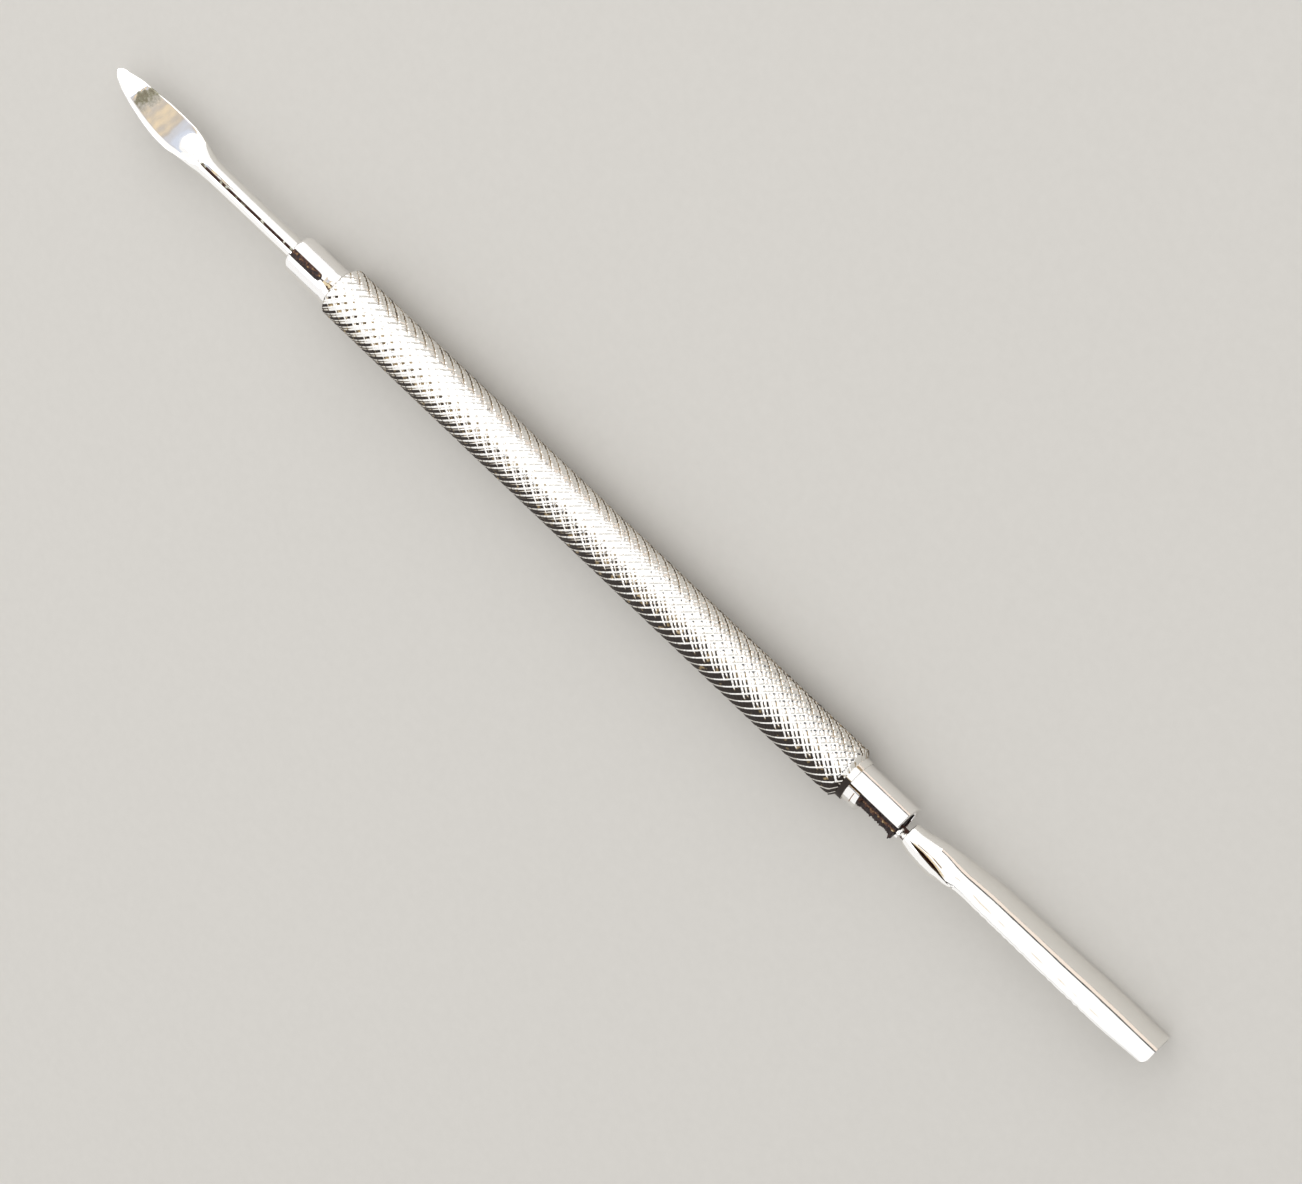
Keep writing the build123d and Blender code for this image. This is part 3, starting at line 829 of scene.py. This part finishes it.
# %% Pusher stations and shares
x = np.unique(np.concatenate([
    neck_start + LIP * curved(5), np.linspace(40.5, 49.2, 90), np.linspace(49.2, 67.6, 50),
    pusher_tip - 0.95 * curved(26)]))
crown_share = np.sort(np.concatenate([
    np.linspace(0, 1, 60), trace_share + trace_half * np.array([-1.4, -1.0, 0.0, 1.0, 1.4])]))
far_share = np.linspace(0, 1, 12)[1:-1]
inside_share = np.linspace(0, 1, 50)
# The share of the near fold at which each lip of the gap lies, found on a fine scale of shares.
scale = np.linspace(0.3, 0.97, 400)
fine = scoop_sections(x, scale[None, :] * np.ones((len(x), 1)))[0][:, -len(scale):, 1]
lips = np.stack([np.interp(x, gap[:, 0], gap[:, k]) for k in (1, 2)])
lower, upper = scale[np.abs(fine[None] - lips[..., None]).argmin(axis=-1)][..., None]
upper = np.maximum(upper, lower + 0.004)
near = np.concatenate([
    np.linspace(0, 1, 12)[None, 1:-1] * lower,
    lower + (upper - lower) * np.array([0.0, 0.08, 0.5, 0.92, 1.0])[None, :],
    upper + (1 - upper) * np.linspace(0, 1, 7)[None, 1:-1]], axis=1)
sections, middle = scoop_sections(x, near)
open_gap = np.interp(x, [40.9, 41.5, 45.0, 46.1], [0, 1, 1, 0])[:, None]
lower_lip = len(crown_share) + len(far_share) + len(inside_share) + 10
upper_lip = lower_lip + 4
place = np.arange(sections.shape[1])[None, :]
inside_gap = (place > lower_lip) & (place < upper_lip)
inward = middle - sections
inward /= np.linalg.norm(inward, axis=-1, keepdims=True)
sections = sections + inward * (gap_depth * open_gap * inside_gap)[..., None]

# %% Painted shade, a painted reflection and seam marks on the pusher
# Painted shade makes the gap dark, a painted golden reflection lies on its upper lip, and dashes
# run along the trace of the seam: beside the gap on the neck, and on the crown from the press to
# near the tip.
pale_tint = 0.22 * (place >= upper_lip) * (place < upper_lip + 3)
grime_and_shade = open_gap * (inside_gap + pale_tint)
dashes = np.clip(0.55 + 1.1 * lumps(np.stack([x, 0 * x, 0 * x], axis=-1), 2.4, seed=31), 0, 1)
on_neck = np.clip(dashes + 0.4, 0, 1) * (x > neck_trace_start) * (x < neck_trace_end)
grime_and_shade = grime_and_shade + 0.55 * (place == upper_lip + 5) * on_neck[:, None]
on_crown = 0.19 * dashes * eased(x, crown_trace_start, crown_trace_full) * (x < crown_trace_end)
on_trace = np.abs(crown_share - trace_share) < 1.01 * trace_half
grime_and_shade[:, :len(crown_share)] += on_trace[None, :] * on_crown[:, None]
points, faces = swept(sections)
make_piece("pusher_scoop", points, faces, polished_steel, {"grime_and_shade": grime_and_shade},
           sharp=32.0)

# %% [markdown]
# ## Stem
# Between the ferrule's mouth and the neck a core shows, painted dark as shade, with two bright
# beads on it. It is a round bar along X whose radius swells, as half a ball does, where each bead
# sits.

# %% Pusher stem
stem_side, core, held_radius = -0.5, 0.5, 0.7
stem_start, stem_end = pusher_mouth - 0.4, neck_start + 0.3
x = np.concatenate([[pusher_mouth - 8.0], np.linspace(stem_start, stem_end, 80),
                    [neck_start + 3.2]])
angle = np.linspace(0, 2 * math.pi, 96, endpoint=False)
swell = 0 * x[:, None] + 0 * angle
for bead_x, bead_angle, bead_radius in ((39.68, -0.25, 0.4), (40.22, -0.25, 0.26)):
    turned = (angle - bead_angle + math.pi) % (2 * math.pi) - math.pi
    distance = ((x[:, None] - bead_x) ** 2 + (core * turned[None, :]) ** 2) / bead_radius ** 2
    swell = np.maximum(swell, bead_radius * np.sqrt(np.clip(1 - distance, 0, 1)))
held = ((x < stem_start + 0.01) | (x > stem_end - 0.01))[:, None]
sections = around(x[:, None], np.where(held, held_radius, core + swell), angle[None, :], stem_side)
points, faces = swept(sections)
# Painted shade: the core between the beads is darkened, and the beads stay bare metal.
make_piece("pusher_stem", points, faces, polished_steel,
           {"grime_and_shade": swell <= 0.02})

# %% [markdown]
# ## Braze in the ferrules
# Both fillers are lumpy crusts. Each is a tube round what it holds: an outer radius that swells
# and sinks with seeded bumps, and a smooth bore for the shank or the stem.

# %% Blade braze
hidden_grain = 0.1
x = np.concatenate([np.linspace(blade_mouth + 0.25, -half_sleeve + 0.1, 120), [blade_mouth + 8.0]])
turn_round = np.linspace(0, 2 * math.pi, 220, endpoint=False)[None, :] - math.pi
filled = np.abs(turn_round - slot_angle) < (opening.max() + 0.02)
base = np.where(filled, collar_radius - 0.14, collar_radius - collar_wall)
shell = around(x[:, None], base, turn_round, blade_side)
rough = lumps(shell, 0.35, seed=11)
in_wedge = eased(x, slot_end + 0.1, slot_end + 0.35)[:, None] * filled
dents = np.where(filled & (x < -half_sleeve)[:, None], 0.07 * rough * (1 - 0.8 * in_wedge), 0.0)
highest = np.where(filled, collar_radius - 0.02, collar_radius - collar_wall)
crust = np.minimum(base + dents + 0.08 * in_wedge, highest)
skin = around(x[:, None], crust, turn_round, blade_side)
points, faces = bored(skin, x, shank_radius, turn_round, blade_side)
across_slot = (turn_round - slot_angle) / opening.max()
chip = in_wedge * (1 - np.clip(np.abs(across_slot) - 0.2, 0, 0.3) / 0.3)
# Painted shade in the crust's hollows, lighter on its high grains. It also lightens towards the
# slot's upper side, and the chip in the wedge is pale.
grain_and_painted_light = 0.2 + 0.38 * rough * (1 - across_slot ** 2) + 0.16 * across_slot + 0.8 * chip
grain_and_painted_light = np.concatenate([grain_and_painted_light, np.full(grain_and_painted_light.shape, hidden_grain)])
make_piece("blade_braze", points, faces, braze_crust, {"grain_and_painted_light": grain_and_painted_light}, sharp=60.0)

# %% Pusher braze
x = np.concatenate([[pusher_mouth - 8.0, notch_start - 0.3],
                    np.linspace(notch_start - 0.2, pusher_mouth - 0.2, 90)])
turn_round = np.linspace(0, 2 * math.pi, 160, endpoint=False)[None, :]
in_notch = eased(x, notch_start - 0.1, notch_start + 0.2)[:, None]
side = -0.25 * in_notch
base = (1 - in_notch) * (collar_radius - collar_wall) + in_notch * 1.12
shell = around(x[:, None], base, turn_round, side)
rough = lumps(shell, 0.4, seed=5) + 0.5 * lumps(shell, 0.18, seed=6)
# A tongue of braze stands out towards -Y just inside the mouth.
turned = (turn_round + 1.7 + math.pi) % (2 * math.pi) - math.pi
tongue = 0.5 * np.exp(-((x[:, None] - pusher_mouth + 0.35) / 0.22) ** 2)
tongue = tongue * np.exp(-(turned / 0.5) ** 2)
crumbs = in_notch * (0.12 * rough + tongue * (0.7 + 0.5 * rough))
skin = around(x[:, None], base + crumbs, turn_round, side)
points, faces = bored(skin, x, held_radius, turn_round, stem_side)
# Painted light: a tan highlight along the crust's upper edge in the notch, and painted shade,
# nearly black, below it.
painted_lit_edge = np.exp(-((turn_round - math.radians(322)) / 0.17) ** 2)
grain_and_painted_light = 0.06 + 0.2 * rough + 0.42 * painted_lit_edge
grain_and_painted_light = np.concatenate([grain_and_painted_light, np.full(grain_and_painted_light.shape, hidden_grain)])
make_piece("pusher_braze", points, faces, braze_crust, {"grain_and_painted_light": grain_and_painted_light}, sharp=60.0)

# %% [markdown]
# ## Bench, lamps and world
# A pale matt floor touches the lowest point of the tool. A mirror shows what stands round it, so
# the lamps are large white panels all round, with a few dimmer tinted cards for the leaf. The
# world is dark grey, and shows only where a gap is left between the panels.

# %% Floor
floor_height = float(cad_box[0][2])
reach = 4.0
corners = [(-reach, -reach, floor_height), (reach, -reach, floor_height),
           (reach, reach, floor_height), (-reach, reach, floor_height)]
floor_mesh = bpy.data.meshes.new("floor")
floor_mesh.from_pydata(corners, [], [(0, 1, 2, 3)])
floor = bpy.data.objects.new("floor", floor_mesh)
bpy.context.collection.objects.link(floor)
floor_paper, tree, shader = blank_material("matt_paper")
place = add(tree, "TexCoord").outputs["Object"]
fibre = noise(tree, place, 0.8, 5.0)
tone = add(tree, "Mix", {0: fibre, 6: linear("#C6C3BD"), 7: linear("#CBC8C2")}, data_type="RGBA")
feed(tree, shader, {"Base Color": tone.outputs[2], "Roughness": 0.9, "Specular IOR Level": 0.2})
floor_mesh.materials.append(floor_paper)

# %% Lamps


def panel(name, azimuth, elevation, distance, width, height, glow, tint="#FFFFFF",
          slide=(0.0, 0.0), turned=0.0):
    """Rectangular lamp that looks back along its azimuth and elevation, in degrees.

    Azimuth 0 is past the pusher and 90 is towards +Y. Width is level unless the panel is turned
    within its own plane, where slide moves it, and glow is the brightness of its face.
    """
    turn, rise = math.radians(azimuth), math.radians(elevation)
    heading = Vector((math.cos(rise) * math.cos(turn), math.cos(rise) * math.sin(turn),
                      math.sin(rise)))
    level = Vector((-math.sin(turn), math.cos(turn), 0.0))
    upward = heading.cross(level)
    spin = math.radians(turned)
    level, upward = (level * math.cos(spin) + upward * math.sin(spin),
                     upward * math.cos(spin) - level * math.sin(spin))
    data = bpy.data.lights.new(name, "AREA")
    data.shape = "RECTANGLE"
    data.size, data.size_y = width, height
    data.energy = glow * math.pi * width * height
    data.color = linear(tint)[:3]
    lamp = bpy.data.objects.new(name, data)
    centre = heading * distance + level * slide[0] + upward * slide[1]
    facing = Matrix((level, upward, heading)).transposed().to_4x4()
    lamp.matrix_world = Matrix.Translation(centre) @ facing
    bpy.context.collection.objects.link(lamp)


panel("over_the_tool", 90, 68, 0.6, 0.856, 1.43, 1.15, slide=(-0.071, -0.05))
panel("past_the_spear", 158, 24, 0.8, 1.0, 0.67, 1.1, slide=(0.0, -0.035))
panel("beside_the_spear", 119, 14, 0.9, 0.52, 0.44, 1.1)
panel("low_far_wall", 80, 6, 1.0, 0.98, 0.2, 1.0, "#FFF0E2")
panel("low_near_wall", 244, 31, 0.9, 2.1, 1.06, 1.0)
panel("past_the_pusher", 4, 10, 0.9, 1.26, 0.34, 1.05)
panel("near_the_pusher", 318, 38, 0.9, 0.56, 0.7, 1.0)
# Lamps do not hide one another, so the cards fill an opening between the panels. They share one
# plane, and the last three are white and close what the coloured ones leave of the opening.
CARD_PLACE, CARD_TURN = (149, 51.8, 0.7), 37.4
for name, width, height, glow, tint, slide in (
        ("cream_card", 0.26, 0.0389, 0.9, "#FFE9C4", (0.0, -0.0078)),
        ("taupe_card", 0.26, 0.0091, 0.55, "#FFF1E0", (0.0, -0.0318)),
        ("grey_card", 0.26, 0.0239, 0.7, "#F6F7FF", (0.0, -0.0483)),
        ("blue_card", 0.26, 0.0438, 0.88, "#E6EEFF", (0.0, -0.0821)),
        ("under_the_cards", 0.73, 0.085, 1.05, "#FFFFFF", (-0.235, -0.1465)),
        ("beside_the_cards", 0.5, 0.1066, 1.05, "#FFFFFF", (-0.38, -0.0413)),
        ("below_the_cards", 0.9, 0.32, 1.1, "#FFFFFF", (0.575, -0.1))):
    panel(name, *CARD_PLACE, width, height, glow, tint, slide, CARD_TURN)

world = bpy.data.worlds.new("studio")
world.use_nodes = True
feed(world.node_tree, world.node_tree.nodes["Background"],
     {"Color": linear("#4A4A4E"), "Strength": 1.0})
bpy.context.scene.world = world
bpy.context.scene.view_settings.view_transform = "Standard"
